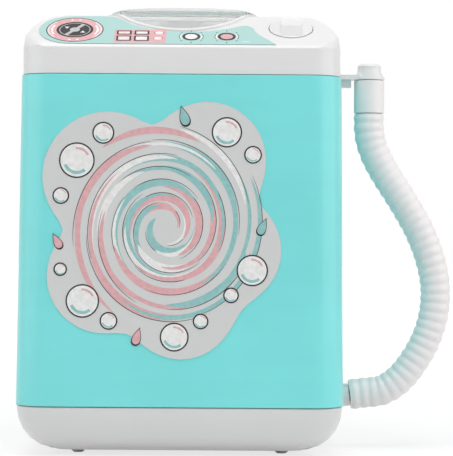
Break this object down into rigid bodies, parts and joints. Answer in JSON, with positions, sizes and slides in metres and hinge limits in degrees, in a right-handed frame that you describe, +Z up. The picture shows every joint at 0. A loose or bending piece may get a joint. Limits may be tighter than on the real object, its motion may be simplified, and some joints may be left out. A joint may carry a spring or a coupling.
{
  "type": "toy washing machine",
  "caption": "Toy top-loading washing machine with a sloping control panel, round clear lid, selector knob, hanging tub with a pulsator, and a ribbed drain hose on its right side.",
  "frame": {"origin": "on the surface that the feet stand on, under the middle of the body, the hose holder and its cuff taken together", "axes": "+Z up, -Y out of the front with its label, +X towards the side with the hose"},
  "size_m": [0.1709, 0.0923, 0.177],
  "materials": {
    "aqua_plastic": "satin moulded ABS, aqua",
    "white_plastic": "glossy moulded ABS, white",
    "clear_plastic": "clear moulded polystyrene",
    "tub_plastic": "satin moulded ABS, deeper aqua",
    "grey_plastic": "matt moulded acetal, grey",
    "dark_plastic": "matt moulded nylon, black",
    "gear_plastic": "natural acetal",
    "hose_plastic": "soft flexible polyethylene, white",
    "panel_label_film": "printed adhesive film, aqua",
    "front_label_film": "printed adhesive film, pale grey",
    "screw_steel": "zinc-plated steel",
    "bush_brass": "turned brass",
    "seal_rubber": "black nitrile rubber",
    "foot_rubber": "pale soft rubber",
    "drain_silicone": "translucent silicone",
    "cell_wrap": "printed shrink wrap, plain blue",
    "wire_red": "PVC insulation, red",
    "wire_blue": "PVC insulation, blue",
    "wire_black": "PVC insulation, black"
  },
  "bodies": {
    "case": {"body_shell": "aqua_plastic", "base_housing": "white_plastic", "foot_1": "foot_rubber", "foot_2": "foot_rubber", "foot_3": "foot_rubber", "foot_4": "foot_rubber", "case_screw_1": "screw_steel", "case_screw_2": "screw_steel", "case_screw_3": "screw_steel", "case_screw_4": "screw_steel", "battery_door": "white_plastic", "door_screw_1": "screw_steel", "battery_1": "cell_wrap", "battery_2": "cell_wrap", "contact_positive": "screw_steel", "contact_negative": "screw_steel", "contact_bridge": "screw_steel", "top_cover": "white_plastic", "cover_screw_1": "screw_steel", "cover_screw_2": "screw_steel", "cover_screw_3": "screw_steel", "cover_screw_4": "screw_steel", "lid_hinge_pin": "screw_steel", "switch_body": "dark_plastic", "switch_screw_1": "screw_steel", "switch_screw_2": "screw_steel", "panel_label": "panel_label_film", "front_label": "front_label_film", "wash_tub": "tub_plastic", "tub_screw_1": "screw_steel", "tub_screw_2": "screw_steel", "tub_screw_3": "screw_steel", "shaft_bush": "bush_brass", "shaft_seal": "seal_rubber", "gear_plate": "grey_plastic", "plate_screw_1": "screw_steel", "plate_screw_2": "screw_steel", "plate_screw_3": "screw_steel", "motor_can": "screw_steel", "motor_end_cap": "dark_plastic", "motor_screw_1": "screw_steel", "motor_screw_2": "screw_steel", "drain_spout": "white_plastic", "drain_tube": "drain_silicone", "drain_hose": "hose_plastic", "hose_cuff": "hose_plastic", "hose_holder": "white_plastic", "wire_battery_to_switch": "wire_red", "wire_switch_to_motor": "wire_blue", "wire_motor_to_battery": "wire_black"},
    "lid": {"lid": "clear_plastic"},
    "knob": {"selector_knob": "white_plastic", "switch_shaft": "grey_plastic"},
    "agitator": {"pulsator": "white_plastic", "pulsator_shaft": "screw_steel", "driven_gear": "gear_plastic"},
    "rotor": {"motor_pinion": "gear_plastic", "motor_shaft": "screw_steel"}
  },
  "joints": [
    {"name": "lid_hinge", "type": "hinge", "parent": "case", "child": "lid", "pos_m": [-0.00887, 0.0338, 0.1734], "axis": [-1, 0, 0], "range_deg": [0, 100]},
    {"name": "knob_turn", "type": "hinge", "parent": "case", "child": "knob", "pos_m": [0.03333, -0.0293, 0.1655], "axis": [0, 0.5, -0.866], "range_deg": [0, 90]},
    {"name": "agitator_spin", "type": "hinge", "parent": "case", "child": "agitator", "pos_m": [-0.00887, 0, 0.08], "axis": [0, 0, 1], "continuous": true},
    {"name": "rotor_spin", "type": "hinge", "parent": "case", "child": "rotor", "pos_m": [-0.02508, 0, 0.07], "axis": [0, 0, 1], "continuous": true}
  ],
  "couplings": [
    {"joint": "rotor_spin", "follows": "agitator_spin", "ratio": -3}
  ]
}
